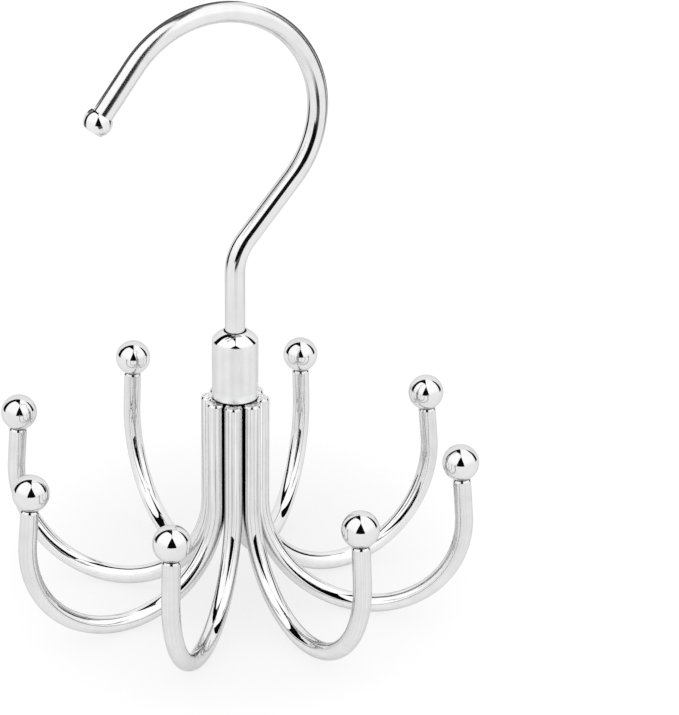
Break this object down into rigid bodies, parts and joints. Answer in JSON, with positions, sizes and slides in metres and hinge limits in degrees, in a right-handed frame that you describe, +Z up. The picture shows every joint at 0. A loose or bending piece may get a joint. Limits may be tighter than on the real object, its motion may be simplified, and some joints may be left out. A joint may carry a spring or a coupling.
{
  "type": "rotating belt hanger",
  "caption": "Chrome wire hanger: a rod hook turns in a domed collar above a ring of J-shaped arms with ball ends, which hold belts by their buckles.",
  "frame": {"origin": "on the swivel axis, at the level of the arms' lowest points", "axes": "+Z up along the swivel axis; the hook's plane and the first arm are turned from +X as drawn"},
  "size_m": [0.117, 0.1167, 0.154],
  "materials": {
    "hook_chrome": "polished chrome plate on drawn steel wire",
    "arm_chrome": "polished chrome plate on drawn steel wire",
    "ball_chrome": "mirror-polished chrome plate on steel balls",
    "collar_chrome": "polished chrome plate on a turned sleeve",
    "inner_steel": "plain turned steel"
  },
  "bodies": {
    "hook": {"top_hook": "hook_chrome", "hook_tip_ball": "ball_chrome", "thrust_washer": "inner_steel"},
    "carousel": {"swivel_collar": "collar_chrome", "core_stem": "inner_steel", "arm_1": "arm_chrome", "arm_2": "arm_chrome", "arm_3": "arm_chrome", "arm_4": "arm_chrome", "arm_5": "arm_chrome", "arm_6": "arm_chrome", "arm_7": "arm_chrome", "arm_8": "arm_chrome", "arm_ball_1": "ball_chrome", "arm_ball_2": "ball_chrome", "arm_ball_3": "ball_chrome", "arm_ball_4": "ball_chrome", "arm_ball_5": "ball_chrome", "arm_ball_6": "ball_chrome", "arm_ball_7": "ball_chrome", "arm_ball_8": "ball_chrome"}
  },
  "joints": [
    {"name": "swivel", "type": "hinge", "parent": "hook", "child": "carousel", "pos_m": [0, 0, 0.0682], "axis": [0, 0, 1], "continuous": true}
  ]
}
